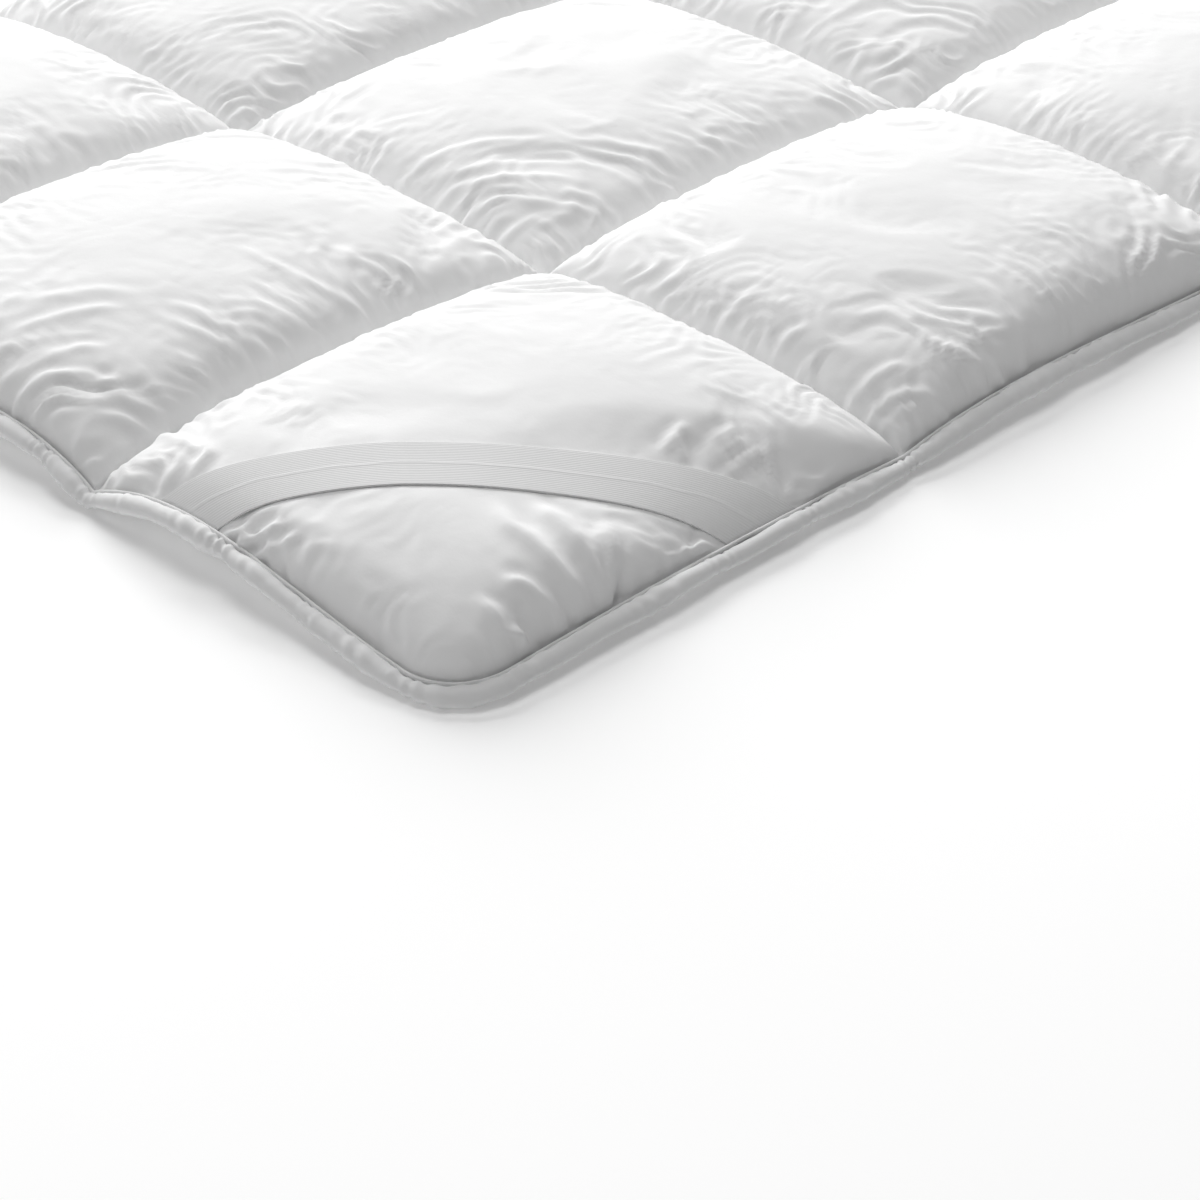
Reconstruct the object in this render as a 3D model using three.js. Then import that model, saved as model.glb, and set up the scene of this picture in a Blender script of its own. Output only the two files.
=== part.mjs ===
// A box-stitched mattress topper for a single bed: a filled quilt of square pads, a fat piping
// sewn into the seam all round it, and a flat elastic band over each corner.
//
// Millimetres, +Z up. The topper lies on the plane z = 0 with its centre over the origin, its
// length along Y and its width along X. South is the -Y end, east is the +X side.

import * as THREE from 'three';
import { mergeVertices } from 'three/addons/utils/BufferGeometryUtils.js';

// Size over the piping, and the grid of stitched pads.
const WIDTH = 1000;
const LENGTH = 2000;
const PADS_ACROSS = 3;
const PADS_ALONG = 5;

// The piping round the rim, and the air between pieces that touch.
const PIPING_RADIUS = 6;
const PIPING_SIDES = 8;
const GAP = 0.4;

// Vertices nearer than this are one vertex.
const WELD = 1e-4;

// The quilt's seams: two layers of cloth with the filling pressed flat between them.
const SEAM_THICKNESS = 3;
const RIM_HEIGHT = 7.5;
const JUNCTION_HEIGHT = 18;
const SEAM_MIDDLE_HEIGHT = 16;
const CORNER_RADIUS = 40;

// How steeply a pad swells away from a sewn channel and from the rim. Lower is steeper.
const CHANNEL_SWELL = 0.28;
const RIM_SWELL = 0.22;
const UNDERSIDE_SWELL = 0.35;
const UNDERSIDE_FLAT = 1.25;

// Height of each pad's crown, from the south end to the north end.
const CROWNS = [
  { west: 75, middle: 77, east: 73 },
  { west: 74, middle: 71, east: 78 },
  { west: 77, middle: 74, east: 76 },
  { west: 73, middle: 77, east: 74 },
  { west: 75, middle: 72, east: 76 },
];
const COLUMNS = ['west', 'middle', 'east'];

// The rim along each outer pad, counted from the south-west: how far the piping lifts off the bed,
// how far along the pad the lift peaks, and how far the swelling pad draws the rim in.
const RIM = {
  south: [
    { lift: 13, peak: 0.55, draw: 4 },
    { lift: 16, peak: 0.7, draw: 4 },
    { lift: 21, peak: 0.3, draw: 3 },
  ],
  north: [
    { lift: 18, peak: 0.65, draw: 5 },
    { lift: 13, peak: 0.45, draw: 4 },
    { lift: 16, peak: 0.4, draw: 4 },
  ],
  west: [
    { lift: 14, peak: 0.5, draw: 4 },
    { lift: 12, peak: 0.6, draw: 3 },
    { lift: 15, peak: 0.45, draw: 4 },
    { lift: 13, peak: 0.5, draw: 3 },
    { lift: 16, peak: 0.55, draw: 5 },
  ],
  east: [
    { lift: 5, peak: 0.5, draw: 0 },
    { lift: 9, peak: 0.32, draw: 1 },
    { lift: 12, peak: 0.5, draw: 3 },
    { lift: 15, peak: 0.55, draw: 4 },
    { lift: 13, peak: 0.6, draw: 4 },
  ],
};

// The elastic corner bands: 40 mm wide, cut slantwise, so each end takes up more of the seam.
const BAND_THICKNESS = 1.5;
const BAND_ON_SHORT_SIDE = { near: 212, far: 268 };
const BAND_ON_LONG_SIDE = { near: 222, far: 286 };
const BAND_INSET = 0.8;
const BAND_LIFT = 1.6;
const BAND_STEPS = 24;
const BAND_LINES = 4;
const SPOTS_PER_STEP = 4;

// The stretched band presses the corner pad down: how deep, and how wide as a share of its reach.
const BAND_DIP = 9;
const BAND_DIP_WIDTH = 0.45;

// Colours and finish.
const WHITE_COTTON = { color: 0xf4f4f3, roughness: 0.85, metalness: 0 };
const WHITE_ELASTIC = { color: 0xeeeeec, roughness: 0.75, metalness: 0 };

// Steps across a pad, close together where it dives into a channel.
const HALF_STEPS = [0, 0.012, 0.035, 0.08, 0.16, 0.3];
const STEPS = [...HALF_STEPS, 0.5, ...HALF_STEPS.map((t) => 1 - t).reverse()];
const SEGMENTS = STEPS.length - 1;

// Half the quilt's own size, inside the piping, and the pitch of its pads.
const PIPING_BORDER = 2 * PIPING_RADIUS + GAP;
const HALF_X = WIDTH / 2 - PIPING_BORDER;
const HALF_Y = LENGTH / 2 - PIPING_BORDER;
const PITCH_X = (2 * HALF_X) / PADS_ACROSS;
const PITCH_Y = (2 * HALF_Y) / PADS_ALONG;

// A hump from 0 to 1 to 0 along a pad's side, with its top at the given place.
function hump(t, peak = 0.5) {
  const early = peak < 0.5;
  const power = Math.log(0.5) / Math.log(early ? 1 - peak : peak);
  const bent = early ? 1 - (1 - t) ** power : t ** power;
  return 4 * bent * (1 - bent);
}

// The pad number and the place in it of a grid line.
function padPlace(line, pads) {
  const pad = Math.min(Math.floor(line / SEGMENTS), pads - 1);
  return { pad, t: STEPS[line - pad * SEGMENTS] };
}

function onRim(column, row) {
  return column === 0 || column === PADS_ACROSS || row === 0 || row === PADS_ALONG;
}

// Height of the crossing of two seams, and of a seam between two crossings.
function crossingHeight(column, row) {
  return onRim(column, row) ? RIM_HEIGHT : JUNCTION_HEIGHT;
}

function rimHeight(side, pad, t) {
  const { lift, peak } = RIM[side][pad];
  return RIM_HEIGHT + lift * hump(t, peak);
}

function innerSeamHeight(start, end, t) {
  const straight = start + (end - start) * t;
  return straight + (SEAM_MIDDLE_HEIGHT - (start + end) / 2) * hump(t);
}

function seamAcross(column, row, t) {
  if (row === 0) return rimHeight('south', column, t);
  if (row === PADS_ALONG) return rimHeight('north', column, t);
  return innerSeamHeight(crossingHeight(column, row), crossingHeight(column + 1, row), t);
}

function seamAlong(column, row, t) {
  if (column === 0) return rimHeight('west', row, t);
  if (column === PADS_ACROSS) return rimHeight('east', row, t);
  return innerSeamHeight(crossingHeight(column, row), crossingHeight(column, row + 1), t);
}

// A smooth patch through the four seams of a pad: the height its two cloths would share unfilled.
function seamSurface(column, row, tx, ty) {
  const fromSouthAndNorth =
    (1 - ty) * seamAcross(column, row, tx) + ty * seamAcross(column, row + 1, tx);
  const fromWestAndEast =
    (1 - tx) * seamAlong(column, row, ty) + tx * seamAlong(column + 1, row, ty);
  const corners =
    (1 - tx) * (1 - ty) * crossingHeight(column, row) +
    tx * (1 - ty) * crossingHeight(column + 1, row) +
    (1 - tx) * ty * crossingHeight(column, row + 1) +
    tx * ty * crossingHeight(column + 1, row + 1);
  return fromSouthAndNorth + fromWestAndEast - corners;
}

// Swelling from 0 on a pad's side to 1 at its middle, gentler on a side that is the rim.
function swell(t, pad, pads) {
  const nearRim = (t < 0.5 && pad === 0) || (t > 0.5 && pad === pads - 1);
  return (4 * t * (1 - t)) ** (nearRim ? RIM_SWELL : CHANNEL_SWELL);
}

// How far a corner pad's crown gives way under its band. The band runs where the shares of its
// reach along both sides of the corner add up to one.
function bandDip(column, row, tx, ty) {
  const fromSide = Math.min(column + tx, PADS_ACROSS - column - tx) * PITCH_X;
  const fromEnd = Math.min(row + ty, PADS_ALONG - row - ty) * PITCH_Y;
  const reachOnShort = (BAND_ON_SHORT_SIDE.near + BAND_ON_SHORT_SIDE.far) / 2;
  const reachOnLong = (BAND_ON_LONG_SIDE.near + BAND_ON_LONG_SIDE.far) / 2;
  const off = (fromSide / reachOnShort + fromEnd / reachOnLong - 1) / BAND_DIP_WIDTH;
  return BAND_DIP * Math.exp(-off * off);
}

function topHeight(column, row, tx, ty) {
  const seam = seamSurface(column, row, tx, ty) + SEAM_THICKNESS / 2;
  const crown = CROWNS[row][COLUMNS[column]] - bandDip(column, row, tx, ty);
  return seam + (crown - seam) * swell(tx, column, PADS_ACROSS) * swell(ty, row, PADS_ALONG);
}

function undersideHeight(column, row, tx, ty) {
  const seam = seamSurface(column, row, tx, ty) - SEAM_THICKNESS / 2;
  const fall = (16 * tx * (1 - tx) * ty * (1 - ty)) ** UNDERSIDE_SWELL;
  return seam * (1 - Math.min(1, UNDERSIDE_FLAT * fall));
}

// How far a point is pulled in from the straight rim. The pull dies away across the outer pad.
function drawIn(rows, pad, t, fromRim) {
  const { draw, peak } = rows[pad];
  return draw * hump(t, peak) * Math.max(0, 1 - fromRim) ** 2;
}

function pulledX(column, row, tx, ty) {
  const acrossPads = column + tx;
  const west = drawIn(RIM.west, row, ty, acrossPads);
  const east = drawIn(RIM.east, row, ty, PADS_ACROSS - acrossPads);
  return -HALF_X + acrossPads * PITCH_X + west - east;
}

function pulledY(column, row, tx, ty) {
  const alongPads = row + ty;
  const south = drawIn(RIM.south, column, tx, alongPads);
  const north = drawIn(RIM.north, column, tx, PADS_ALONG - alongPads);
  return -HALF_Y + alongPads * PITCH_Y + south - north;
}

// Turns the square corner of the quilt into a round one: square rings become round rings.
function roundCorner(x, y) {
  const inX = Math.abs(x) - (HALF_X - CORNER_RADIUS);
  const inY = Math.abs(y) - (HALF_Y - CORNER_RADIUS);
  if (inX <= 0 || inY <= 0) return [x, y];
  const shrink = Math.max(inX, inY) / Math.hypot(inX, inY);
  const farX = HALF_X - CORNER_RADIUS + inX * shrink;
  const farY = HALF_Y - CORNER_RADIUS + inY * shrink;
  return [Math.sign(x) * farX, Math.sign(y) * farY];
}

// A point of the quilt at a crossing of its grid lines.
function quiltPoint(lineX, lineY, heightOf) {
  const { pad: column, t: tx } = padPlace(lineX, PADS_ACROSS);
  const { pad: row, t: ty } = padPlace(lineY, PADS_ALONG);
  const [x, y] = roundCorner(pulledX(column, row, tx, ty), pulledY(column, row, tx, ty));
  return new THREE.Vector3(x, y, heightOf(column, row, tx, ty));
}

const LINES_X = PADS_ACROSS * SEGMENTS;
const LINES_Y = PADS_ALONG * SEGMENTS;

// Moves every vertex of a unit box that is cut into a grid, and welds its faces.
function shapeBox(segmentsX, segmentsY, place) {
  const geometry = new THREE.BoxGeometry(1, 1, 1, segmentsX, segmentsY, 1);
  const position = geometry.attributes.position;
  for (let k = 0; k < position.count; k += 1) {
    const lineX = Math.round((position.getX(k) + 0.5) * segmentsX);
    const lineY = Math.round((position.getY(k) + 0.5) * segmentsY);
    const point = place(lineX, lineY, position.getZ(k) > 0);
    position.setXYZ(k, point.x, point.y, point.z);
  }
  geometry.deleteAttribute('normal');
  geometry.deleteAttribute('uv');
  return mergeVertices(geometry, WELD);
}

function named(name, geometry, finish) {
  geometry.computeVertexNormals();
  const mesh = new THREE.Mesh(geometry, new THREE.MeshStandardMaterial(finish));
  mesh.name = name;
  return mesh;
}

// The quilt: crowned pads above, flat pads below, and sewn channels between them.
function makeQuilt() {
  const geometry = shapeBox(LINES_X, LINES_Y, (lineX, lineY, isTop) =>
    quiltPoint(lineX, lineY, isTop ? topHeight : undersideHeight),
  );
  return named('quilt', geometry, WHITE_COTTON);
}

// The quilt's outer seam as a closed ring of points, counterclockwise from the south-west corner.
function rimRing() {
  const ring = [];
  for (let line = 0; line < LINES_X; line += 1) ring.push(quiltPoint(line, 0, seamSurface));
  for (let line = 0; line < LINES_Y; line += 1) ring.push(quiltPoint(LINES_X, line, seamSurface));
  for (let line = LINES_X; line > 0; line -= 1) ring.push(quiltPoint(line, LINES_Y, seamSurface));
  for (let line = LINES_Y; line > 0; line -= 1) ring.push(quiltPoint(0, line, seamSurface));
  return ring;
}

// The level outward direction at a point of the ring, lengthened so that a parallel ring
// keeps an even distance of one from it.
function outwardAt(ring, k) {
  const before = ring[(k + ring.length - 1) % ring.length];
  const after = ring[(k + 1) % ring.length];
  const arriving = new THREE.Vector2(ring[k].x - before.x, ring[k].y - before.y).normalize();
  const leaving = new THREE.Vector2(after.x - ring[k].x, after.y - ring[k].y).normalize();
  const along = arriving.clone().add(leaving).normalize();
  const stretch = 1 / Math.max(0.5, along.dot(arriving));
  return new THREE.Vector3(along.y * stretch, -along.x * stretch, 0);
}

// The piping: a round cord cover, sewn on just outside the rim and following its waves.
function makePiping() {
  const ring = rimRing();
  const steps = ring.length;
  const geometry = new THREE.TorusGeometry(1, 0.5, PIPING_SIDES, steps);
  const position = geometry.attributes.position;
  for (let k = 0; k < position.count; k += 1) {
    const step = (k % (steps + 1)) % steps;
    const turn = (2 * Math.PI * Math.floor(k / (steps + 1))) / PIPING_SIDES;
    const outward = outwardAt(ring, step);
    const reach = PIPING_RADIUS + GAP + PIPING_RADIUS * Math.cos(turn);
    const point = ring[step].clone().addScaledVector(outward, reach);
    position.setXYZ(k, point.x, point.y, point.z + PIPING_RADIUS * Math.sin(turn));
  }
  geometry.deleteAttribute('normal');
  geometry.deleteAttribute('uv');
  return named('piping', mergeVertices(geometry, WELD), WHITE_COTTON);
}

// The point of the rim at a distance from a corner along one of its sides.
function rimPoint(side, isHigh, fromCorner) {
  const isShort = side === 'south' || side === 'north';
  const pads = isShort ? PADS_ACROSS : PADS_ALONG;
  const padsFromCorner = fromCorner / (isShort ? PITCH_X : PITCH_Y);
  const place = isHigh ? pads - padsFromCorner : padsFromCorner;
  const pad = Math.min(Math.floor(place), pads - 1);
  const t = place - pad;
  const spots = {
    south: [pad, 0, t, 0],
    north: [pad, PADS_ALONG - 1, t, 1],
    west: [0, pad, 0, t],
    east: [PADS_ACROSS - 1, pad, 1, t],
  };
  const spot = spots[side];
  return new THREE.Vector3(pulledX(...spot), pulledY(...spot), seamSurface(...spot));
}

// The corners, each with the side that runs into it and the side that leaves it, going
// counterclockwise, and whether the corner is at the high end of that side.
const CORNERS = [
  { name: 'band_southeast', first: 'south', firstHigh: true, second: 'east', secondHigh: false },
  { name: 'band_northeast', first: 'east', firstHigh: true, second: 'north', secondHigh: true },
  { name: 'band_northwest', first: 'north', firstHigh: false, second: 'west', secondHigh: true },
  { name: 'band_southwest', first: 'west', firstHigh: false, second: 'south', secondHigh: false },
];
const INWARD = {
  south: new THREE.Vector3(0, 1, 0),
  east: new THREE.Vector3(-1, 0, 0),
  north: new THREE.Vector3(0, -1, 0),
  west: new THREE.Vector3(1, 0, 0),
};

function bandEnd(side, isHigh, share) {
  const isShort = side === 'south' || side === 'north';
  const { near, far } = isShort ? BAND_ON_SHORT_SIDE : BAND_ON_LONG_SIDE;
  const point = rimPoint(side, isHigh, near + (far - near) * share);
  return point.addScaledVector(INWARD[side], BAND_INSET);
}

// Height of the quilt's upper face under a point.
const DOWN = new THREE.Vector3(0, 0, -1);
const ABOVE_ALL = 500;
function quiltHeight(quilt, x, y) {
  const ray = new THREE.Raycaster(new THREE.Vector3(x, y, ABOVE_ALL), DOWN);
  const [hit] = ray.intersectObject(quilt);
  return hit ? hit.point.z : 0;
}

// The line that a stretched thread takes over the points: their upper hull, read at each of them.
function stretchOver(points) {
  const hull = [];
  for (const point of points) {
    while (hull.length > 1) {
      const [a, b] = hull.slice(-2);
      if ((b.s - a.s) * (point.z - a.z) < (b.z - a.z) * (point.s - a.s)) break;
      hull.pop();
    }
    hull.push(point);
  }
  return points.map(({ s }) => {
    const after = Math.max(1, hull.findIndex((point) => point.s >= s));
    const [a, b] = [hull[after - 1], hull[after]];
    return a.z + ((b.z - a.z) * (s - a.s)) / (b.s - a.s);
  });
}

// One lengthwise thread of a band, stretched from rim to rim over the quilt's upper face.
function bandThread(quilt, corner, share) {
  const start = bandEnd(corner.first, corner.firstHigh, share);
  const end = bandEnd(corner.second, corner.secondHigh, share);
  const span = Math.hypot(end.x - start.x, end.y - start.y);
  const spots = [];
  for (let k = 0; k <= BAND_STEPS * SPOTS_PER_STEP; k += 1) {
    const part = (1 - Math.cos((Math.PI * k) / (BAND_STEPS * SPOTS_PER_STEP))) / 2;
    const { x, y } = start.clone().lerp(end, part);
    spots.push({ s: span * part, x, y, z: quiltHeight(quilt, x, y) });
  }
  const heights = stretchOver(spots);
  const points = spots.map(({ x, y }, k) => new THREE.Vector3(x, y, heights[k]));
  return points.filter((_, k) => k % SPOTS_PER_STEP === 0);
}

// The upward direction square to a thread at one of its points.
function threadNormal(thread, k) {
  const before = thread[Math.max(0, k - 1)];
  const after = thread[Math.min(thread.length - 1, k + 1)];
  const along = after.clone().sub(before).normalize();
  const up = new THREE.Vector3(0, 0, 1);
  return up.addScaledVector(along, -along.z).normalize();
}

// A band: flat elastic, sewn into the rim at both ends and stretched over the corner pad.
function makeBand(quilt, corner) {
  const threads = [];
  for (let line = 0; line <= BAND_LINES; line += 1) {
    threads.push(bandThread(quilt, corner, line / BAND_LINES));
  }
  const geometry = shapeBox(BAND_STEPS, BAND_LINES, (step, line, isTop) => {
    const lift = isTop ? BAND_LIFT + BAND_THICKNESS : BAND_LIFT;
    return threads[line][step].clone().addScaledVector(threadNormal(threads[line], step), lift);
  });
  return named(corner.name, geometry, WHITE_ELASTIC);
}

const topper = new THREE.Group();
const quilt = makeQuilt();
quilt.updateMatrixWorld();
topper.add(quilt, makePiping(), ...CORNERS.map((corner) => makeBand(quilt, corner)));

export default topper;
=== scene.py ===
import math

import bmesh
import bpy
import numpy as np
from mathutils import Matrix, Vector
from mathutils.bvhtree import BVHTree


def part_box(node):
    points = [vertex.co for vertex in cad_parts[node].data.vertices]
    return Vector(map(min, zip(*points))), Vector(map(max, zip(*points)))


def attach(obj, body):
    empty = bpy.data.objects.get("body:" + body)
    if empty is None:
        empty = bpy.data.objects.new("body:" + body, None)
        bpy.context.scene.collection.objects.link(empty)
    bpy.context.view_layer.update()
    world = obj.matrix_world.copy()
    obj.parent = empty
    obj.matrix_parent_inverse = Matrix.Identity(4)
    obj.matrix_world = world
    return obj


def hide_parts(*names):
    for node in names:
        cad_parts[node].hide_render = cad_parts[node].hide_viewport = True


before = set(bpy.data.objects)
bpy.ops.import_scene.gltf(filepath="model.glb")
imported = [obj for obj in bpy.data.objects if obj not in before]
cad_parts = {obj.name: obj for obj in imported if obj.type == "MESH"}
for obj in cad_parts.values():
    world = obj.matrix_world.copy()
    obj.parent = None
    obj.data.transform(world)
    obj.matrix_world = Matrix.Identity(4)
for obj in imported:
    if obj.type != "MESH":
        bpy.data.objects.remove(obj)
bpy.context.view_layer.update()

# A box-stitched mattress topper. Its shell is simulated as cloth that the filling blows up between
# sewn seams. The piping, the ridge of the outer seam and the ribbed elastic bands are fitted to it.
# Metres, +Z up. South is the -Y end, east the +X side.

MM = 0.001

# The quilt's half width and half length are the frame's. It is sewn into three by five pads.
QUILT_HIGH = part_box("quilt")[1]
HALF_X = QUILT_HIGH.x
HALF_Y = QUILT_HIGH.y
PADS_ACROSS = 3
PADS_ALONG = 5
PITCH_X = 2 * HALF_X / PADS_ACROSS
PITCH_Y = 2 * HALF_Y / PADS_ALONG

# Seams: two layers of cloth with the filling pressed flat between them.
SEAM_THICKNESS = 3 * MM
RIM_HEIGHT = 7.5 * MM
JUNCTION_HEIGHT = 18 * MM
SEAM_MIDDLE_HEIGHT = 16 * MM
CORNER_ZONE = 44 * MM

# How steeply a pad swells away from a sewn channel and from the rim, and where it lies flat below.
CHANNEL_SWELL = 0.2
RIM_SWELL = 0.16
UNDERSIDE_SWELL = 0.35
UNDERSIDE_FLAT = 1.25

# Height of each pad's crown in millimetres, west to east, from the south end to the north end.
CROWNS = np.array([
    [75, 77, 73],
    [74, 71, 78],
    [77, 74, 76],
    [73, 77, 74],
    [75, 72, 76],
])

# The rim along each outer pad, counted from the south-west: how far the piping lifts, how far along
# the pad the lift peaks, and how far the swelling pad draws the rim in.
RIM = {
    "south": np.array([[13, 0.55, 4], [16, 0.7, 4], [21, 0.3, 3]]),
    "north": np.array([[18, 0.65, 5], [13, 0.45, 4], [16, 0.4, 4]]),
    "west": np.array([[14, 0.5, 4], [12, 0.6, 3], [15, 0.45, 4], [13, 0.5, 3], [16, 0.55, 5]]),
    "east": np.array([[5, 0.5, 0], [9, 0.32, 1], [12, 0.5, 3], [15, 0.55, 4], [13, 0.6, 4]]),
}

# The elastic bands: 40 mm wide, cut slantwise, so each end takes up more of the seam.
BAND_THICKNESS = 1.5 * MM
BAND_WIDTH = 40 * MM
BAND_ON_SHORT_SIDE = {"near": 211 * MM, "far": 264 * MM}
BAND_ON_LONG_SIDE = {"near": 230 * MM, "far": 293 * MM}
BAND_DIP = 5 * MM
BAND_DIP_WIDTH = 0.35

# Cloth grid: squares on a pad of the upper panel, which the underside halves.
SQUARES_ACROSS = 120
SQUARES_ALONG = 140
UNDERSIDE_EVERY = 2


def hump(t, peak=0.5):
    """From 0 to 1 to 0 along a pad's side, with its top at the given place."""
    early = peak < 0.5
    power = np.log(0.5) / np.log(np.where(early, 1 - peak, peak))
    bent = np.where(early, 1 - (1 - t) ** power, t**power)
    return 4 * bent * (1 - bent)


def crossing_height(column, row):
    """Height at which two seams cross."""
    on_rim = (column == 0) | (column == PADS_ACROSS) | (row == 0) | (row == PADS_ALONG)
    return np.where(on_rim, RIM_HEIGHT, JUNCTION_HEIGHT)


def rim_height(side, pad, t):
    """Height of the outer seam along a pad, where the filling lifts it."""
    lift, peak, _ = RIM[side][pad].T
    return RIM_HEIGHT + lift * MM * hump(t, peak)


def inner_seam_height(start, end, t):
    """Height of a sewn channel, which runs between the heights of its two ends."""
    return start + (end - start) * t + (SEAM_MIDDLE_HEIGHT - (start + end) / 2) * hump(t)


def seam_across(column, row, t):
    """Height along the seam on a pad's south side."""
    start = crossing_height(column, row)
    end = crossing_height(column + 1, row)
    inner = inner_seam_height(start, end, t)
    south = rim_height("south", column, t)
    north = rim_height("north", column, t)
    return np.where(row == 0, south, np.where(row == PADS_ALONG, north, inner))


def seam_along(column, row, t):
    """Height along the seam on a pad's west side."""
    start = crossing_height(column, row)
    end = crossing_height(column, row + 1)
    inner = inner_seam_height(start, end, t)
    west = rim_height("west", row, t)
    east = rim_height("east", row, t)
    return np.where(column == 0, west, np.where(column == PADS_ACROSS, east, inner))


def seam_surface(column, row, tx, ty):
    """A smooth patch through a pad's four seams."""
    south_north = (1 - ty) * seam_across(column, row, tx) + ty * seam_across(column, row + 1, tx)
    west_east = (1 - tx) * seam_along(column, row, ty) + tx * seam_along(column + 1, row, ty)
    corners = (
        (1 - tx) * (1 - ty) * crossing_height(column, row)
        + tx * (1 - ty) * crossing_height(column + 1, row)
        + (1 - tx) * ty * crossing_height(column, row + 1)
        + tx * ty * crossing_height(column + 1, row + 1)
    )
    return south_north + west_east - corners


# A cloth grid can't follow an upright wall, so the swelling starts at this share from the seam.
SWELL_START = 0.003


def swell(t, pad, pads):
    """Swelling from 0 on a pad's side to 1 at its middle, gentler on a side that is the rim."""
    near_rim = ((t < 0.5) & (pad == 0)) | ((t > 0.5) & (pad == pads - 1))
    power = np.where(near_rim, RIM_SWELL, CHANNEL_SWELL)
    start = SWELL_START**power
    return ((4 * t * (1 - t) + SWELL_START) ** power - start) / ((1 + SWELL_START) ** power - start)


def band_dip(column, row, tx, ty):
    """How far a corner pad's crown gives way under its band."""
    from_side = np.minimum(column + tx, PADS_ACROSS - column - tx) * PITCH_X
    from_end = np.minimum(row + ty, PADS_ALONG - row - ty) * PITCH_Y
    reach_short = sum(BAND_ON_SHORT_SIDE.values()) / 2
    reach_long = sum(BAND_ON_LONG_SIDE.values()) / 2
    off = (from_side / reach_short + from_end / reach_long - 1) / BAND_DIP_WIDTH
    return BAND_DIP * np.exp(-off * off)


def top_height(column, row, tx, ty, crown_drop):
    """Height of a pad's upper cloth before it is blown up, with its crown held down a little."""
    seam = seam_surface(column, row, tx, ty) + SEAM_THICKNESS / 2
    crown = CROWNS[row, column] * MM - band_dip(column, row, tx, ty) - crown_drop
    return seam + (crown - seam) * swell(tx, column, PADS_ACROSS) * swell(ty, row, PADS_ALONG)


def underside_height(column, row, tx, ty):
    """Height of a pad's lower cloth, which lies flat but near its seams."""
    seam = seam_surface(column, row, tx, ty) - SEAM_THICKNESS / 2
    fall = np.maximum(16 * tx * (1 - tx) * ty * (1 - ty), 0) ** UNDERSIDE_SWELL
    return seam * (1 - np.minimum(1, UNDERSIDE_FLAT * fall))


def draw_in(side, pad, t, from_rim):
    """How far a point is pulled in from the straight rim, which dies away across the outer pad."""
    _, peak, draw = RIM[side][pad].T
    return draw * MM * hump(t, peak) * np.maximum(0, 1 - from_rim) ** 2


def lay_out(column, row, tx, ty):
    """The plan of a place on a pad, drawn in at the rim and rounded at the topper's corners."""
    across = column + tx
    along = row + ty
    west = draw_in("west", row, ty, across)
    east = draw_in("east", row, ty, PADS_ACROSS - across)
    south = draw_in("south", column, tx, along)
    north = draw_in("north", column, tx, PADS_ALONG - along)
    x = -HALF_X + across * PITCH_X + west - east
    y = -HALF_Y + along * PITCH_Y + south - north
    in_x = np.maximum(np.abs(x) - (HALF_X - CORNER_ZONE), 0) / CORNER_ZONE
    in_y = np.maximum(np.abs(y) - (HALF_Y - CORNER_ZONE), 0) / CORNER_ZONE
    x = np.sign(x) * (np.abs(x) - CORNER_ZONE * in_x * rounding(in_y))
    y = np.sign(y) * (np.abs(y) - CORNER_ZONE * in_y * rounding(in_x))
    return x, y


def rounding(share):
    """How much of its way out a point loses to the round corner, given its share of the other way."""
    return 1 - np.sqrt(1 - share * share / 2)


# Grid lines


PROFILE_POINTS = 4001


def even_steps(squares, half_width, rise):
    """Places across a pad that are evenly far apart along its swelling profile."""
    fine = np.linspace(0, 1, PROFILE_POINTS)
    height = rise * swell(fine, 1, PADS_ACROSS)
    run = np.hypot(np.diff(fine * 2 * half_width), np.diff(height))
    length = np.concatenate([[0], np.cumsum(run)])
    return np.interp(np.linspace(0, length[-1], squares + 1), length, fine)


CROWN_RISE = 50 * MM
STEPS_ACROSS = even_steps(SQUARES_ACROSS, PITCH_X / 2, CROWN_RISE)
STEPS_ALONG = even_steps(SQUARES_ALONG, PITCH_Y / 2, CROWN_RISE)


def lines(steps, pads, every=1):
    """The pad number and the place in it of every grid line across the topper."""
    inner = steps[:-1][::every]
    pad = np.concatenate([np.repeat(np.arange(pads), len(inner)), [pads - 1]])
    place = np.concatenate([np.tile(inner, pads), [1.0]])
    return pad, place


NOISE_WAVES = 24
NOISE_LENGTHS = (0.7, 1.5)


def smooth_noise(places, scale, seed):
    """Smooth noise of about -1 to 1 at points in metres: a sum of waves in seeded directions."""
    random = np.random.default_rng(seed)
    total = np.zeros(len(places))
    for _ in range(NOISE_WAVES):
        direction = random.normal(size=places.shape[1])
        direction /= np.linalg.norm(direction)
        length = scale * random.uniform(*NOISE_LENGTHS)
        total += np.sin(places @ direction * (2 * math.pi / length) + random.uniform(0, 2 * math.pi))
    return total / math.sqrt(NOISE_WAVES / 2)


# Meshes


def grid_piece(name, squares_x, squares_y):
    """A flat grid of squares with its own UV map, ready to be laid over a form."""
    shape = bmesh.new()
    shape.loops.layers.uv.new("cloth")
    bmesh.ops.create_grid(shape, x_segments=squares_x, y_segments=squares_y, size=1, calc_uvs=True)
    return finish_shape(name, shape)


def finish_shape(name, shape):
    """Turns a bmesh into a piece with smooth faces, linked to the scene."""
    mesh = bpy.data.meshes.new(name)
    shape.to_mesh(mesh)
    shape.free()
    mesh.shade_smooth()
    piece = bpy.data.objects.new(name, mesh)
    bpy.context.scene.collection.objects.link(piece)
    return piece


def places_of(mesh):
    """A mesh's points as an array."""
    places = np.empty(len(mesh.vertices) * 3, np.float32)
    mesh.vertices.foreach_get("co", places)
    return places.reshape(-1, 3).astype(float)


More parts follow.
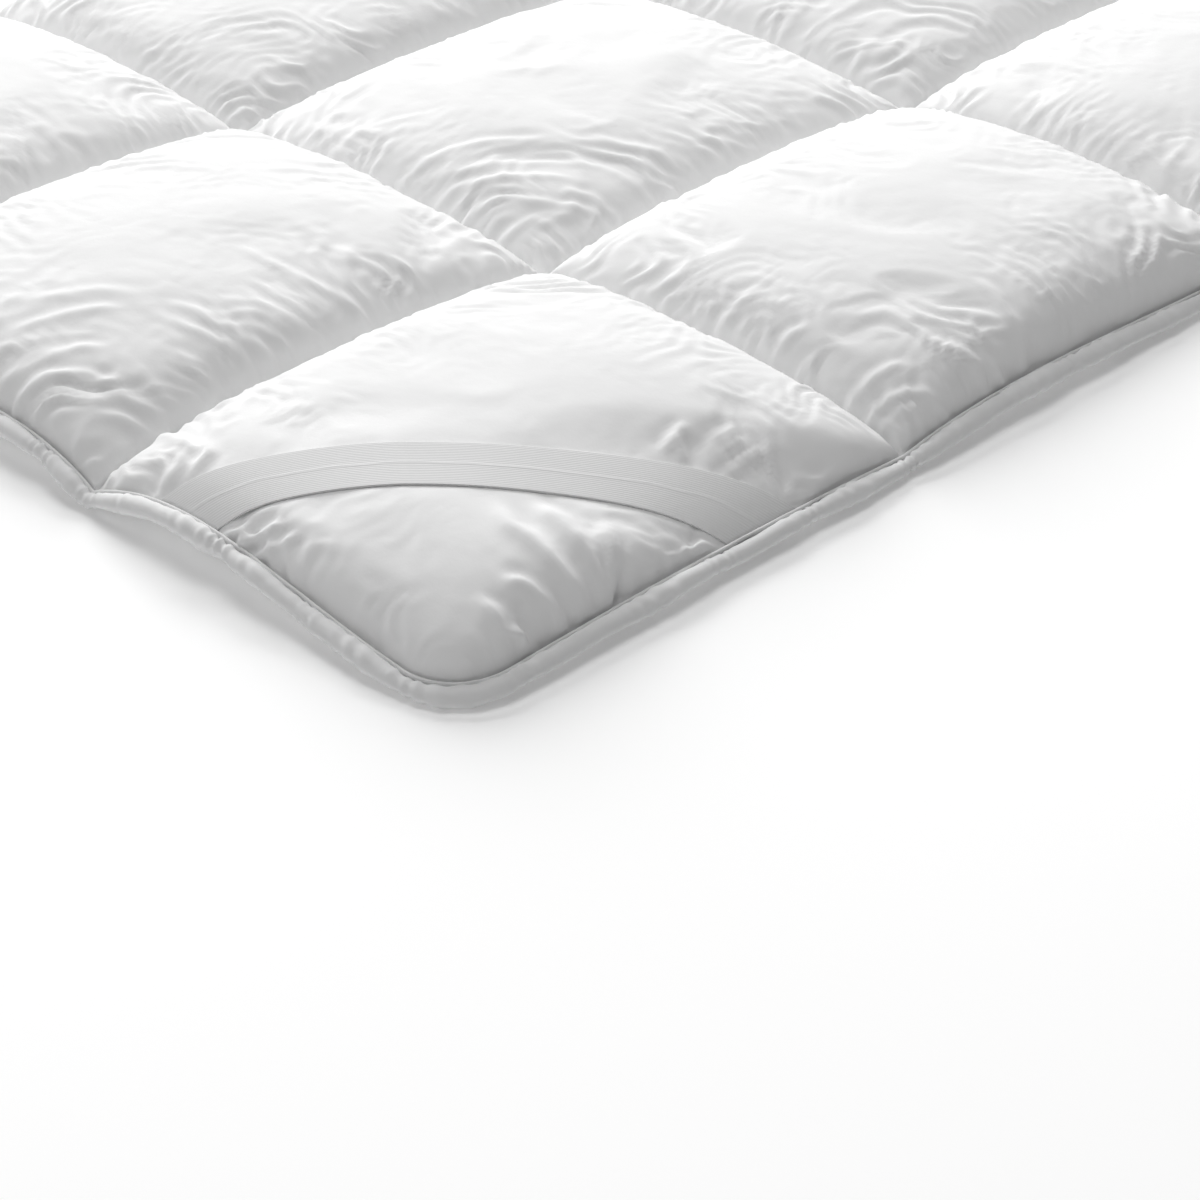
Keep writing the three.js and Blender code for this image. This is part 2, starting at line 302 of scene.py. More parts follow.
def put_places(mesh, places):
    """Lays a mesh's points over an array of places."""
    mesh.vertices.foreach_set("co", np.asarray(places, np.float32).ravel())
    mesh.update()


# The upper panel, blown up as cloth between its seams

SIM_FRAMES = 14
PRESSURE = 0.8
CROWN_DROP = 8 * MM
MOST_TRAVEL = 26 * MM
CHANNEL_SLIT = 0.3 * MM

# The cloth is cut fuller near its seams: a negative share is spare cloth.
SPARE_ON_CROWN = -0.004
SPARE_AT_SEAM = -0.09
SEAM_REACH = 60 * MM
FULLNESS_LEVELS = 20

# The small unevenness that the wrinkles grow from: short puckers at the seams, longer folds past
# them, which reach further on two pads, and a soft wave on the crown.
PUCKER_SEED = 1.0 * MM
PUCKER_LENGTH = 13 * MM
PUCKER_ARCS = 110 * MM
SEED_REACH = 45 * MM
FOLD_LENGTH = 23 * MM
FOLD_ARCS = 150 * MM
USUAL_FOLD_REACH = 75 * MM
FOLD_REACH = {(1, 0): 110 * MM, (1, 1): 60 * MM}
CROWN_WAVE = 0.35 * MM
CROWN_WAVE_LENGTH = 110 * MM

# How the ridges wander (height and length of each wave), break off and sharpen.
BROAD_WANDER = (15 * MM, 110 * MM)
FINE_WANDER = (4 * MM, 45 * MM)
ARC_TURN = 1.5
ARC_LENGTHS = 3.5
USUAL_STRENGTH = 0.55
STRENGTH_SPREAD = 0.75
MOST_STRENGTH = 1.8
RIDGE_SHARPNESS = 1.6
RIDGE_MIDDLE = 0.35
FREE_CORNER_SHARE = 0.9
FREE_CORNER_REACH = 16 * MM


def pucker_pattern(tx, ty, spacing, reach, free_corner, seed):
    """Ridges that cross each seam squarely and run round the pad's corners as broken arcs."""
    west, east = tx * PITCH_X, (1 - tx) * PITCH_X
    south, north = ty * PITCH_Y, (1 - ty) * PITCH_Y
    plan = np.stack([west, south], -1)
    wander = BROAD_WANDER[0] * smooth_noise(plan, BROAD_WANDER[1], seed)
    wander += FINE_WANDER[0] * smooth_noise(plan, FINE_WANDER[1], seed + 1)
    total = np.zeros(len(tx))
    weight = np.zeros(len(tx))
    corners = [(west, south), (east, south), (east, north), (west, north)]
    for number, (side, end) in enumerate(corners):
        radius = np.hypot(side, end)
        angle = np.arctan2(end, side)
        wave = 0.5 + 0.5 * np.sin((radius + wander) * (2 * math.pi / spacing) + number)
        polar = np.stack([radius / (ARC_LENGTHS * spacing), angle / ARC_TURN], -1)
        uneven = smooth_noise(polar, 1.0, seed + 2 + number)
        strength = np.clip(USUAL_STRENGTH + STRENGTH_SPREAD * uneven, 0, MOST_STRENGTH)
        near = np.exp(-radius / reach)
        if number == free_corner:
            strength *= np.exp(-np.minimum(side, end) / FREE_CORNER_REACH) * FREE_CORNER_SHARE
        total += near * strength * (wave**RIDGE_SHARPNESS - RIDGE_MIDDLE)
        weight += near
    return 2 * total / weight


def distance_to_seam(tx, ty):
    """How far a place on a pad lies from its nearest seam."""
    return np.minimum(np.minimum(tx, 1 - tx) * PITCH_X, np.minimum(ty, 1 - ty) * PITCH_Y)


# The pads at the topper's own corners, and which of their corners is the free one.
FREE_CORNERS = {
    (0, 0): 0,
    (PADS_ACROSS - 1, 0): 1,
    (PADS_ACROSS - 1, PADS_ALONG - 1): 2,
    (0, PADS_ALONG - 1): 3,
}


def ripples(column, row, tx, ty, to_seam, plan):
    """The small unevenness of a pad's cloth before it is blown up."""
    seed = 10 * (row * PADS_ACROSS + column)
    free = FREE_CORNERS.get((column, row), -1)
    puckers = pucker_pattern(tx, ty, PUCKER_LENGTH, PUCKER_ARCS, free, seed)
    folds = pucker_pattern(tx, ty, FOLD_LENGTH, FOLD_ARCS, free, seed + 3)
    fold_reach = FOLD_REACH.get((column, row), USUAL_FOLD_REACH)
    ripple = PUCKER_SEED * np.exp(-to_seam / SEED_REACH) * puckers
    ripple += PUCKER_SEED * np.exp(-to_seam / fold_reach) * folds
    ripple += CROWN_WAVE * smooth_noise(plan, CROWN_WAVE_LENGTH, seed + 6)
    return ripple


def pad_at_rest(column, row, tx, ty, to_seam):
    """A pad's grid of cloth before it is blown up, and its places."""
    pad = grid_piece(f"pad_{column}_{row}", SQUARES_ACROSS, SQUARES_ALONG)
    columns = np.full(len(tx), column)
    rows = np.full(len(tx), row)
    x, y = lay_out(columns, rows, tx, ty)
    z = top_height(columns, rows, tx, ty, CROWN_DROP)
    ripple = ripples(column, row, tx, ty, to_seam, np.stack([x, y], -1))
    rest = np.stack([x, y, z + np.where(to_seam == 0, 0, ripple)], -1)
    put_places(pad.data, rest)
    return pad, rest


def blow_up_pads(quick):
    """Simulates every pad as cloth pinned on its seams, and returns each pad's rest and blown form."""
    column_t, row_t = np.meshgrid(STEPS_ACROSS, STEPS_ALONG)
    tx, ty = column_t.ravel(), row_t.ravel()
    to_seam = distance_to_seam(tx, ty)
    pads = [
        pad_at_rest(column, row, tx, ty, to_seam)
        for row in range(PADS_ALONG)
        for column in range(PADS_ACROSS)
    ]
    if not quick:
        fullness = np.round(np.exp(-to_seam / SEAM_REACH) * FULLNESS_LEVELS) / FULLNESS_LEVELS
        for pad, _ in pads:
            sew_down(pad, to_seam == 0, fullness)
        for moment in range(1, SIM_FRAMES + 1):
            bpy.context.scene.frame_set(moment)
    depsgraph = bpy.context.evaluated_depsgraph_get()
    forms = []
    for pad, rest in pads:
        blown = rest
        if not quick:
            blown = places_of(bpy.data.meshes.new_from_object(pad.evaluated_get(depsgraph)))
        forms.append((rest, blown))
    for pad, _ in pads:
        bpy.data.objects.remove(pad)
    bpy.context.scene.frame_set(1)
    return forms, tx, ty


SHELL_CLOTH = {
    "quality": 4,
    "mass": 0.3,
    "tension_stiffness": 15,
    "compression_stiffness": 15,
    "shear_stiffness": 5,
    "bending_stiffness": 0.8,
    "vertex_group_mass": "sewn",
    "pin_stiffness": 1,
    "use_pressure": True,
    "uniform_pressure_force": PRESSURE,
    "vertex_group_shrink": "fullness",
    "shrink_min": SPARE_ON_CROWN,
    "shrink_max": SPARE_AT_SEAM,
}


def sew_down(pad, seam, fullness):
    """Cloth that is pinned on its seams, cut fuller next to them, and blown up by the filling."""
    pins = pad.vertex_groups.new(name="sewn")
    pins.add(np.flatnonzero(seam).tolist(), 1.0, "REPLACE")
    full = pad.vertex_groups.new(name="fullness")
    for level in np.unique(fullness):
        full.add(np.flatnonzero(fullness == level).tolist(), float(level), "REPLACE")
    cloth = pad.modifiers.new("shell", "CLOTH")
    settings = cloth.settings
    for name, value in SHELL_CLOTH.items():
        setattr(settings, name, value)
    settings.effector_weights.gravity = 0
    cloth.collision_settings.use_collision = False
    cloth.collision_settings.use_self_collision = False
    cloth.point_cache.frame_start = 1
    cloth.point_cache.frame_end = SIM_FRAMES + 1


def blurred(field, cells):
    """A pad's grid of vectors, averaged over a square of cells about each of its points."""
    kernel = np.hanning(2 * cells + 3)[1:-1]
    kernel /= kernel.sum()
    padded = np.pad(field, ((cells, cells), (cells, cells), (0, 0)), mode="reflect")
    rows = sum(weight * padded[k:k + field.shape[0]] for k, weight in enumerate(kernel))
    return sum(weight * rows[:, k:k + field.shape[1]] for k, weight in enumerate(kernel))


WRINKLE_CELLS = 5
WRINKLE_GAIN = 0.4
WRINKLE_FADE = 10 * MM
CROWN_SHARE = 0.12
LEAST_RISE = 1 * MM
CROWN_GAINS = (0.5, 1.6)
GAIN_FROM = 0.03


def on_crown(tx, ty):
    """Which places of a pad are on its crown."""
    return (np.abs(tx - 0.5) < CROWN_SHARE) & (np.abs(ty - 0.5) < CROWN_SHARE)


def settle(rest, blown, tx, ty, crown):
    """Deepens the wrinkles, caps how far the cloth travelled, keeps it inside its pad, and brings
    its crown to height."""
    travel = blown - rest
    length = np.linalg.norm(travel, axis=1)
    travel *= np.minimum(1, MOST_TRAVEL / np.maximum(length, 1e-9))[:, None]
    form = rest + travel
    grid = form.reshape(SQUARES_ALONG + 1, SQUARES_ACROSS + 1, 3)
    wrinkle = (grid - blurred(grid, WRINKLE_CELLS)).reshape(-1, 3)
    fades = np.clip(distance_to_seam(tx, ty) / WRINKLE_FADE, 0, 1)[:, None]
    travel += WRINKLE_GAIN * fades * wrinkle
    west = np.maximum(tx * PITCH_X - CHANNEL_SLIT, 0)
    east = np.maximum((1 - tx) * PITCH_X - CHANNEL_SLIT, 0)
    south = np.maximum(ty * PITCH_Y - CHANNEL_SLIT, 0)
    north = np.maximum((1 - ty) * PITCH_Y - CHANNEL_SLIT, 0)
    travel[:, 0] = np.clip(travel[:, 0], -west, east)
    travel[:, 1] = np.clip(travel[:, 1], -south, north)
    middle = on_crown(tx, ty)
    rose = travel[middle, 2].mean()
    if rose > LEAST_RISE:
        gain = np.clip((crown - rest[middle, 2].mean()) / rose, *CROWN_GAINS) - 1
        travel[:, 2] *= 1 + gain * np.clip((rest[:, 2] - GAIN_FROM) / GAIN_FROM, 0, 1)
    return rest + travel


def upper_panel():
    """Every point of the upper panel's grid, row by row, from the blown pads."""
    forms, tx, ty = blow_up_pads(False)
    middle = on_crown(tx, ty)
    panel = np.empty((SQUARES_ALONG * PADS_ALONG + 1, SQUARES_ACROSS * PADS_ACROSS + 1, 3))
    for number, (rest, blown) in enumerate(forms):
        row, column = divmod(number, PADS_ACROSS)
        crown = rest[middle, 2].mean() + CROWN_DROP
        settled = settle(rest, blown, tx, ty, crown)
        settled = settled.reshape(SQUARES_ALONG + 1, SQUARES_ACROSS + 1, 3)
        if (column, row) in CREASES:
            settled = crease(settled, column, row)
        low_x, low_y = column * SQUARES_ACROSS, row * SQUARES_ALONG
        panel[low_y:low_y + SQUARES_ALONG + 1, low_x:low_x + SQUARES_ACROSS + 1] = settled
    return panel


# Creases on the four pads at the near corner, by the pad's column and row. Each has its height and half
# width in mm, then how far each place on its line is from the topper's east and south rim, in mm.
CREASES = {
    (2, 0): [
        (3.2, 4.5, [36, 50, 21, 49, 9, 48, 4, 56, 2, 63]),
        (1.8, 4, [27, 54, 15, 55, 11, 58]),
        (2, 4, [17, 65, 9, 65, 3, 65]),
        (3, 8, [92, 118, 62, 105, 36, 104, 19, 104, 11, 108]),
        (3.2, 9, [80, 134, 49, 133, 24, 126, 8, 119]),
        (2.6, 5, [44, 163, 20, 148, 10, 142, 3, 133, 1, 126]),
        (2.2, 5.5, [34, 66, 24, 76, 11, 83, 7, 90]),
        (1.6, 4, [13, 100, 2, 99]),
        (1.6, 4, [22, 215, 1, 201]),
        (2.2, 4.5, [62, 234, 68, 251, 72, 270]),
        (2.4, 4, [70, 256, 58, 248, 46, 240]),
        (2.4, 5, [46, 252, 53, 277, 52, 300]),
        (2.4, 5, [40, 250, 45, 279, 42, 300]),
        (2, 5, [30, 248, 35, 278, 34, 306]),
        (2.2, 5, [205, 16, 192, 7, 184, 3]),
        (2, 5, [192, 26, 173, 13, 154, 3]),
        (1.8, 5, [178, 25, 157, 11, 136, 3]),
        (2.2, 5.5, [285, 54, 258, 36, 246, 25]),
        (2.4, 6, [309, 53, 274, 36, 255, 26]),
    ],
    (1, 0): [
        (1.8, 5, [446, 211, 412, 214, 379, 219, 350, 228, 339, 234, 330, 242]),
        (1.4, 5, [420, 251, 389, 263, 362, 270, 345, 278, 334, 282]),
        (1.3, 4, [369, 286, 358, 290, 342, 295]),
        (1.6, 5, [398, 179, 370, 176, 344, 187, 333, 202]),
        (1.5, 5, [414, 132, 382, 135, 354, 145, 335, 155]),
        (1.2, 5, [421, 113, 393, 115, 367, 123, 343, 135, 332, 137]),
        (1.6, 5.5, [458, 31, 452, 50, 445, 70, 432, 93, 417, 106]),
        (1.2, 5, [438, 17, 418, 32, 408, 57, 395, 71]),
        (2.2, 4.5, [413, 11, 405, 25, 388, 41, 372, 48, 356, 55]),
        (1.4, 5, [375, 96, 354, 99, 335, 109]),
        (1.1, 6, [483, 54, 467, 79, 449, 106, 428, 123]),
        (1.1, 4.5, [404, 188, 379, 192, 345, 197, 337, 207]),
        (1.4, 4, [351, 335, 343, 329, 334, 326]),
        (1.3, 4.5, [396, 14, 386, 22, 368, 32, 355, 38]),
    ],
    (1, 1): [
        (1.6, 5, [481, 408, 473, 425, 467, 445, 454, 467, 434, 489, 412, 508]),
        (1.5, 4, [509, 407, 511, 417, 516, 430]),
        (1.6, 5, [443, 403, 433, 417, 421, 431, 405, 450, 384, 470, 359, 485]),
        (1.4, 4, [413, 410, 407, 422, 403, 436]),
        (2, 4.5, [411, 414, 399, 424, 379, 435, 361, 447, 344, 460, 334, 466]),
        (1.8, 4.5, [377, 411, 364, 424, 348, 429, 333, 431]),
        (1.3, 5, [447, 426, 433, 448, 414, 469, 392, 488, 373, 504, 346, 513]),
        (1.8, 5, [412, 497, 388, 515, 369, 526, 350, 530, 331, 533]),
        (1.3, 5, [394, 531, 367, 545, 344, 558, 334, 564]),
        (1.6, 4.5, [371, 592, 352, 599, 334, 604]),
        (1.2, 4.5, [384, 568, 359, 579, 341, 584, 332, 586]),
        (1.4, 4.5, [376, 457, 354, 470, 340, 478]),
        (1.3, 4.5, [577, 402, 582, 413, 589, 434, 577, 441]),
        (1, 5, [556, 412, 547, 429, 536, 446, 519, 468]),
        (1.4, 4.5, [381, 653, 360, 657, 344, 657, 336, 660]),
    ],
    (2, 1): [
        (1.3, 4, [271, 401, 274, 411]),
        (1.4, 4.5, [214, 399, 214, 405, 215, 418]),
        (1.3, 4.5, [179, 401, 180, 408, 181, 419]),
        (1.6, 5, [164, 400, 164, 408, 162, 421, 156, 435]),
        (1.5, 4.5, [115, 400, 115, 407, 112, 416, 104, 427]),
        (1.3, 4.5, [95, 400, 89, 407, 80, 419]),
        (1.8, 4.5, [47, 398, 46, 406, 44, 418, 40, 432, 25, 445]),
        (1.8, 4.5, [33, 399, 27, 408, 22, 422, 13, 431, 4, 444]),
        (1.2, 4, [22, 399, 17, 407, 10, 421, 4, 433]),
        (2.2, 5, [52, 476, 34, 485, 20, 490, 8, 492, 2, 500]),
        (1.4, 5, [47, 460, 29, 469, 15, 477, 6, 483]),
        (1.8, 5.5, [62, 541, 44, 537, 27, 530, 12, 521]),
        (1, 4, [236, 399, 241, 404, 243, 411]),
        (1.1, 4, [140, 399, 140, 405, 138, 412]),
        (1.2, 5, [75, 584, 54, 579, 30, 571]),
    ],
}
CREASE_GAIN = {(2, 0): 1.25, (1, 0): 0.9, (1, 1): 0.75, (2, 1): 0.9}
CREASE_SLIM = 0.82
CREASE_TAPER = 0.3
CREASE_POINTS = 6
SEAM_CATCHES = 45 * MM
SEAM_FADE = 5 * MM
NORMAL_CELLS = 3

# The hollow beside a crease: its depth, and its distance and half width in half widths of the crease.
CREASE_HOLLOW = 0.55
HOLLOW_AWAY = 1.8
HOLLOW_WIDTH = 1.3


def cloth_normals(cloth):
    """The outward direction at every point of a pad's grid, smoothed over its small wrinkles."""
    normal = np.cross(np.gradient(cloth, axis=1), np.gradient(cloth, axis=0))
    normal = blurred(normal, NORMAL_CELLS)
    return normal / np.maximum(np.linalg.norm(normal, axis=2), 1e-12)[..., None]


def crease(settled, column, row):
    """Raises a pad's creases along the cloth's normal, and keeps the cloth on its side of the channels."""
    across = np.linalg.norm(np.diff(settled[SQUARES_ALONG // 2], axis=0), axis=1).sum()
    along = np.linalg.norm(np.diff(settled[:, SQUARES_ACROSS // 2], axis=0), axis=1).sum()
    size = np.array([across, along])
    even_u = np.linspace(0, across, SQUARES_ACROSS + 1)
    even_v = np.linspace(0, along, SQUARES_ALONG + 1)
    u, v = np.meshgrid(even_u, even_v)
    lift = np.zeros(u.shape)
    for height, width, places in CREASES[(column, row)]:
        east, south = np.array(places, float).reshape(-1, 2).T * MM
        tx = np.clip((2 * HALF_X - east) / PITCH_X - column, 0, 1)
        ty = np.clip(south / PITCH_Y - row, 0, 1)
        line = np.stack([np.interp(tx, STEPS_ACROSS, even_u), np.interp(ty, STEPS_ALONG, even_v)], -1)
        caught = [reach_seam(line, end, size) for end in (0, -1)]
        ridge = ridge_along(u, v, line, CREASE_SLIM * width * MM, caught)
        lift += CREASE_GAIN[(column, row)] * height * MM * ridge
    edge = np.minimum(np.minimum(u, across - u), np.minimum(v, along - v))
    creased = settled + cloth_normals(settled) * (lift * np.clip(edge / SEAM_FADE, 0, 1))[..., None]
    west = column * PITCH_X - HALF_X + CHANNEL_SLIT
    south = row * PITCH_Y - HALF_Y + CHANNEL_SLIT
    east = west + PITCH_X - 2 * CHANNEL_SLIT
    north = south + PITCH_Y - 2 * CHANNEL_SLIT
    creased[..., 0] = np.clip(creased[..., 0], west, east)
    creased[..., 1] = np.clip(creased[..., 1], south, north)
    return np.where((edge > 0)[..., None], creased, settled)


def reach_seam(line, end, size):
    """Carries an end of a crease that comes near a seam on to that seam. Returns whether it did."""
    to_low, to_high = line[end], size - line[end]
    axis = int(np.argmin(np.minimum(to_low, to_high)))
    if min(to_low[axis], to_high[axis]) > SEAM_CATCHES:
        return False
    line[end, axis] = 0 if to_low[axis] < to_high[axis] else size[axis]
    return True


def ridge_along(u, v, line, width, caught):
    """A ridge of height 1 along a line, with a hollow beside it, that dies away at its free ends."""
    fine = np.linspace(0, len(line) - 1, CREASE_POINTS * (len(line) - 1) + 1)
    numbers = np.arange(len(line))
    points = np.stack([np.interp(fine, numbers, line[:, axis]) for axis in range(2)], -1)
    nearest = np.full(u.shape, 1e9)
    signed = np.zeros(u.shape)
    place = np.zeros(u.shape)
    for k in range(len(fine) - 1):
        du, dv = points[k + 1] - points[k]
        span = max(du * du + dv * dv, 1e-12)
        part = np.clip(((u - points[k, 0]) * du + (v - points[k, 1]) * dv) / span, 0, 1)
        off_u, off_v = u - points[k, 0] - part * du, v - points[k, 1] - part * dv
        away = np.hypot(off_u, off_v)
        closer = away < nearest
        nearest = np.where(closer, away, nearest)
        signed = np.where(closer, np.copysign(away, du * off_v - dv * off_u), signed)
        place = np.where(closer, (k + part) / (len(fine) - 1), place)
    taper = np.ones(u.shape)
    if not caught[0]:
        taper *= np.clip(place / CREASE_TAPER, 0, 1)
    if not caught[1]:
        taper *= np.clip((1 - place) / CREASE_TAPER, 0, 1)
    taper = taper * taper * (3 - 2 * taper)
    beside = (signed - HOLLOW_AWAY * width) / (HOLLOW_WIDTH * width)
    hollow = CREASE_HOLLOW * np.exp(-(beside**2))
    return taper * (np.exp(-((nearest / width) ** 2)) - hollow)


# The lower cloth bellies out below the outer seam, unevenly.
UNDERSIDE_BELLY = 5.5 * MM
BELLY_REACH = 40 * MM
BROAD_SLACK = 0.5
FINE_SLACK = 0.12


def lower_panel():
    """Every point of the underside's coarser grid: flat where it lies, lumpy near the rim."""
    column, tx = lines(STEPS_ACROSS, PADS_ACROSS, UNDERSIDE_EVERY)
    row, ty = lines(STEPS_ALONG, PADS_ALONG, UNDERSIDE_EVERY)
    column, row = np.meshgrid(column, row)
    tx, ty = np.meshgrid(tx, ty)
    shape = column.shape
    column, row, tx, ty = column.ravel(), row.ravel(), tx.ravel(), ty.ravel()
    x, y = lay_out(column, row, tx, ty)
    z = underside_height(column, row, tx, ty)
    seam = seam_surface(column, row, tx, ty) - SEAM_THICKNESS / 2
    share = np.clip(z / np.maximum(seam, 1e-6), 0, 1)
    belly = 4 * share * (1 - share)
    from_west, from_east = (column + tx) * PITCH_X, (PADS_ACROSS - column - tx) * PITCH_X
    from_south, from_north = (row + ty) * PITCH_Y, (PADS_ALONG - row - ty) * PITCH_Y
    plan = np.stack([x, y], -1)
    slack = 1 + BROAD_SLACK * smooth_noise(plan, 70 * MM, 901)
    slack += FINE_SLACK * smooth_noise(plan, 22 * MM, 902)
    bulge = UNDERSIDE_BELLY * belly * slack
    push_x = np.exp(-from_east / BELLY_REACH) - np.exp(-from_west / BELLY_REACH)
    push_y = np.exp(-from_north / BELLY_REACH) - np.exp(-from_south / BELLY_REACH)
    return np.stack([x + push_x * bulge, y + push_y * bulge, z], -1).reshape(*shape, 3)


def make_quilt(top, under):
    """One closed shell: the blown upper panel and the underside, bridged along the outer seam."""
    shape = bmesh.new()
    for name, panel, is_below in (("upper", top, False), ("lower", under, True)):
        cloth = grid_piece(name, panel.shape[1] - 1, panel.shape[0] - 1)
        put_places(cloth.data, panel.reshape(-1, 3))
        if is_below:
            cloth.data.flip_normals()
        shape.from_mesh(cloth.data)
        bpy.data.objects.remove(cloth)
    rims = [edge for edge in shape.edges if edge.is_boundary]
    bmesh.ops.bridge_loops(shape, edges=rims)
    return finish_shape("quilt_cover", shape)


# Along the outer seam


def rim_ring():
    """The outer seam as a closed ring of points, counterclockwise from the south-west corner."""
    across_pad, across_t = lines(STEPS_ACROSS, PADS_ACROSS)
    along_pad, along_t = lines(STEPS_ALONG, PADS_ALONG)
    first_x, last_x = np.zeros(len(along_t), int), np.full(len(along_t), PADS_ACROSS - 1)
    first_y, last_y = np.zeros(len(across_t), int), np.full(len(across_t), PADS_ALONG - 1)
    sides = [
        (across_pad, first_y, across_t, 0.0 * across_t),
        (last_x, along_pad, 0.0 * along_t + 1, along_t),
        (across_pad[::-1], last_y, across_t[::-1], 0.0 * across_t + 1),
        (first_x, along_pad[::-1], 0.0 * along_t, along_t[::-1]),
    ]
    rings = []
    for column, row, tx, ty in sides:
        x, y = lay_out(column, row, tx, ty)
        rings.append(np.stack([x, y, seam_surface(column, row, tx, ty)], -1)[:-1])
    return np.concatenate(rings)


def even_ring(ring, steps):
    """The same closed ring with its points evenly far apart."""
    closed = np.concatenate([ring, ring[:1]])
    length = np.concatenate([[0], np.cumsum(np.linalg.norm(np.diff(closed, axis=0), axis=1))])
    wanted = np.linspace(0, length[-1], steps + 1)[:-1]
    return np.stack([np.interp(wanted, length, closed[:, axis]) for axis in range(3)], -1), length[-1]


def outward_of(ring):
    """The level outward direction at every point of a counterclockwise ring."""
    ahead = np.roll(ring, -1, axis=0) - np.roll(ring, 1, axis=0)
    outward = np.stack([ahead[:, 1], -ahead[:, 0], 0 * ahead[:, 0]], -1)
    return outward / np.linalg.norm(outward, axis=1)[:, None]


PIPING_RADIUS = 6.5 * MM
PIPING_GAP = 0.4 * MM
PIPING_FLATTENED = 0.94
PIPING_STEPS = 3600
PIPING_SIDES = 18

# Shares of the radius that its uneven cord, bias wrinkles, small wrinkles and pinches take or add.
CORD_UNEVEN = 0.07
BIAS_WRINKLE = 0.0585
BIAS_PITCH = 15 * MM
SMALL_WRINKLE = 0.039
PINCH_DEPTH = 0.25
PINCH_FOLD_DEPTH = 0.22
PINCH_FOLD = 7.5 * MM
PINCH_WIDTH = 12 * MM
PINCH_PULL = 1.5 * MM
PIPING_WANDER = 0.8 * MM

# Where the cover is pinched, from the south-east corner, and how hard. It is also pinched at each channel.
SOUTH_PINCHES = [(200 * MM, 1.0), (34 * MM, 0.5), (372 * MM, 0.8), (120 * MM, 0.3)]
EAST_PINCHES = [(46 * MM, 0.35), (215 * MM, 0.4), (300 * MM, 0.35), (560 * MM, 0.4)]
CHANNEL_PINCH = 0.7


def ring_gathers(ring, length):
    """How tightly the piping is gathered along the ring: where a channel ends, and at loose pinches."""
    steps = len(ring)
    tight = np.zeros(steps)
    spots = []
    for sign in (-1, 1):
        spots += [(x * PITCH_X - HALF_X, sign * HALF_Y, CHANNEL_PINCH) for x in range(1, PADS_ACROSS)]
        spots += [(sign * HALF_X, y * PITCH_Y - HALF_Y, CHANNEL_PINCH) for y in range(1, PADS_ALONG)]
    spots += [(HALF_X - from_corner, -HALF_Y, strength) for from_corner, strength in SOUTH_PINCHES]
    spots += [(HALF_X, from_corner - HALF_Y, strength) for from_corner, strength in EAST_PINCHES]
    place = np.arange(steps) * (length / steps)
    for x, y, strength in spots:
        nearest = np.argmin(np.hypot(ring[:, 0] - x, ring[:, 1] - y))
        away = np.abs(place - place[nearest])
        away = np.minimum(away, length - away)
        tight = np.maximum(tight, strength * np.exp(-((away / PINCH_WIDTH) ** 2)))
    return tight


WELD_GAP = 1e-6


def tube_grid(name, sides):
    """A grid to bend into a tube along the outer seam, with each point's step along and turn round it."""
    piece = grid_piece(name, PIPING_STEPS, sides)
    step = np.tile(np.arange(PIPING_STEPS + 1) % PIPING_STEPS, sides + 1)
    turn = np.repeat(np.arange(sides + 1) % sides, PIPING_STEPS + 1) * (2 * math.pi / sides)
    return piece, step, turn


def bend_round(piece, ring, step, reach, rise):
    """Lays a grid out and up from the outer seam, and closes it where its opposite edges meet."""
    places = ring[step] + outward_of(ring)[step] * reach[:, None]
    places[:, 2] += rise
    put_places(piece.data, places)
    shape = bmesh.new()
    shape.from_mesh(piece.data)
    bmesh.ops.remove_doubles(shape, verts=shape.verts, dist=WELD_GAP)
    bmesh.ops.recalc_face_normals(shape, faces=shape.faces)
    shape.to_mesh(piece.data)
    shape.free()
    piece.data.shade_smooth()
    return piece


def make_piping():
    """The cord cover: a soft tube with bias wrinkles, gathered where the channels end."""
    ring, length = even_ring(rim_ring(), PIPING_STEPS)
    piece, step, turn = tube_grid("piping_cover", PIPING_SIDES)
    along = step * (length / PIPING_STEPS)
    plan = ring[:, :2]
    soft = smooth_noise(plan, 55 * MM, 31)[step]
    fine = smooth_noise(plan, 13 * MM, 32)[step]
    lie = PIPING_WANDER * smooth_noise(plan, 95 * MM, 33)[step]
    tight = ring_gathers(ring, length)[step]
    slant = np.sin(along * (2 * math.pi / BIAS_PITCH) + 1.3 * turn + 2.5 * soft)
    folds = np.sin(along * (2 * math.pi / PINCH_FOLD) + 0.8 * np.sin(turn) + fine)
    share = 1 + CORD_UNEVEN * soft - PINCH_DEPTH * tight + PINCH_FOLD_DEPTH * tight * folds
    share += BIAS_WRINKLE * slant * np.clip(0.5 + soft, 0, 1.3)
    share += SMALL_WRINKLE * fine * np.sin(turn + soft)
    radius = PIPING_RADIUS * share
    reach = PIPING_RADIUS + PIPING_GAP + radius * np.cos(turn) - PINCH_PULL * tight + 0.3 * lie
    return bend_round(piece, ring, step, reach, PIPING_FLATTENED * radius * np.sin(turn) + lie)


# The ridge's middle lies this far out from the outer seam and above it.
RIDGE_RADIUS = 1.3 * MM
RIDGE_SIDES = 8
RIDGE_OUT = 1.7 * MM
RIDGE_UP = 4.2 * MM
RIDGE_TALL = 1.3


def make_seam_ridge():
    """The folded edge of the upper panel, which stands up between the piping and the pads."""
    ring, _ = even_ring(rim_ring(), PIPING_STEPS)
    piece, step, turn = tube_grid("seam_ridge", RIDGE_SIDES)
    wave = smooth_noise(ring[:, :2], 30 * MM, 41)[step]
    radius = RIDGE_RADIUS * (1 + 0.12 * wave)
    reach = RIDGE_OUT + 0.3 * MM * wave + radius * np.cos(turn)
    return bend_round(piece, ring, step, reach, RIDGE_UP + RIDGE_TALL * radius * np.sin(turn))


# The elastic corner bands

